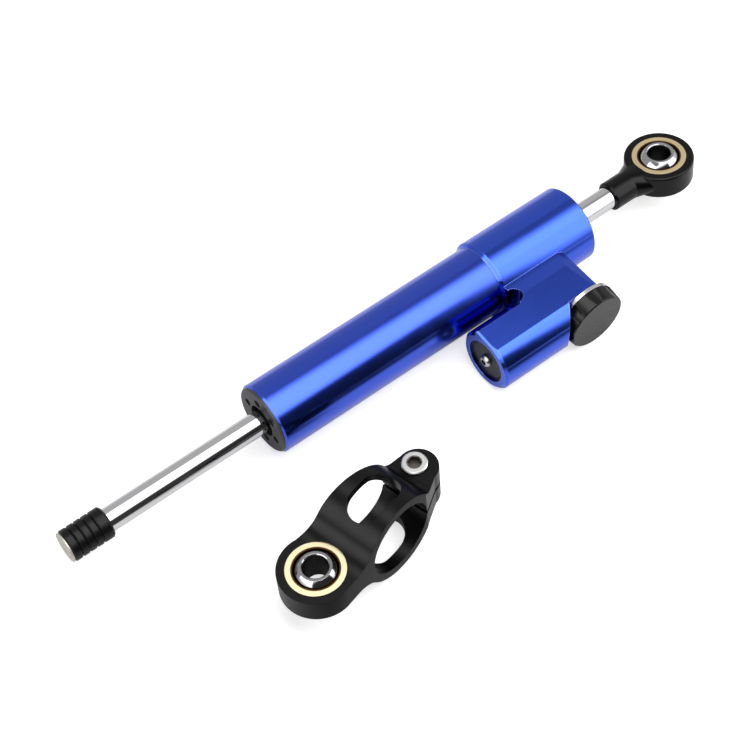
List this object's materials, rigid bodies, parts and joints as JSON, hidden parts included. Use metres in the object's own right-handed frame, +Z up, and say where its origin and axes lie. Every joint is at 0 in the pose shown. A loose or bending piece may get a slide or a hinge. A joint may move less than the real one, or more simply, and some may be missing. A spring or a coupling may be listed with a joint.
{
  "type": "motorcycle steering damper",
  "caption": "Hydraulic steering damper with a through rod, spherical rod eye, side housing with reservoir and click adjuster, and a loose split clamp bracket for its tube.",
  "frame": {"origin": "centre of the ball in the rod eye", "axes": "+X along the damper from the rubber buffer to the rod eye, +Y away from the adjuster knob, +Z up from the flat surface that it lies on"},
  "size_m": [0.2608, 0.0829, 0.0331],
  "materials": {
    "blue_anodised": "polished, blue anodised",
    "black_anodised": "satin, black anodised",
    "black_knob": "black anodised, fine turned face",
    "bright_aluminium": "turned, bright",
    "plain_aluminium": "turned",
    "chrome": "hard chromed, polished",
    "bright_steel": "bright",
    "spring_steel": "dark oiled",
    "brass": "pale, turned",
    "bronze": "plain bearing bronze",
    "rubber": "matt black",
    "slide_ring": "filled PTFE"
  },
  "bodies": {
    "barrel": {"barrel_tube": "blue_anodised", "inner_liner": "plain_aluminium", "head_block": "blue_anodised", "rear_bush": "bronze", "rear_rod_seal": "rubber", "rear_wiper": "rubber", "front_gland": "black_anodised", "front_wiper": "rubber", "front_rod_seal": "rubber", "front_bush": "bronze", "front_gland_oring": "rubber", "reservoir_plug": "black_anodised", "plug_oring": "rubber", "plug_circlip": "spring_steel", "fill_screw": "bright_steel", "valve_gland": "bright_steel", "spindle_oring": "rubber", "dial_ring": "bright_aluminium"},
    "piston_set": {"piston": "plain_aluminium", "piston_ring": "slide_ring"},
    "rod_set": {"piston_rod": "chrome", "piston_clips": "spring_steel", "rod_buffer": "rubber", "buffer_end_disc": "plain_aluminium", "rod_eye": "black_anodised", "rod_eye_race": "brass"},
    "rod_ball": {"rod_eye_ball": "chrome"},
    "knob_set": {"adjuster_knob": "black_knob", "click_ball": "chrome", "click_spring": "bright_steel", "knob_set_screw": "spring_steel"},
    "needle": {"needle_valve": "bright_steel"},
    "float": {"floating_piston": "plain_aluminium", "float_oring": "rubber"},
    "bracket": {"clamp_body": "black_anodised", "clamp_race": "brass", "clamp_screw": "bright_steel"},
    "bracket_ball": {"clamp_ball": "chrome"}
  },
  "joints": [
    {"name": "rod_slide", "type": "slide", "parent": "barrel", "child": "piston_set", "axis": [1, 0, 0], "range_m": [-0.018, 0.059]},
    {"name": "rod_turn", "type": "hinge", "parent": "piston_set", "child": "rod_set", "pos_m": [0, 0, 0], "axis": [1, 0, 0], "continuous": true},
    {"name": "rod_ball_tilt", "type": "hinge", "parent": "rod_set", "child": "rod_ball", "pos_m": [0, 0, 0], "axis": [0, 0.9895, -0.1444], "range_deg": [-13, 13]},
    {"name": "knob_turn", "type": "hinge", "parent": "barrel", "child": "knob_set", "pos_m": [-0.0614, -0.0363, -0.0028], "axis": [0, 1, 0], "range_deg": [-165, 165]},
    {"name": "needle_travel", "type": "slide", "parent": "knob_set", "child": "needle", "axis": [0, 1, 0], "range_m": [-0.00046, 0.00046]},
    {"name": "float_slide", "type": "slide", "parent": "barrel", "child": "float", "axis": [1, 0, 0], "range_m": [-0.0053, 0.0042]},
    {"name": "bracket_lift", "type": "slide", "parent": "barrel", "child": "bracket", "axis": [0, 0, 1], "range_m": [0, 0.04]},
    {"name": "bracket_ball_tilt", "type": "hinge", "parent": "bracket", "child": "bracket_ball", "pos_m": [-0.1944, -0.0566, 0.00248], "axis": [-0.2124, 0.974, -0.0785], "range_deg": [-13, 13]}
  ],
  "couplings": [
    {"joint": "needle_travel", "follows": "knob_turn", "m_per_rad": 0.00015915}
  ]
}
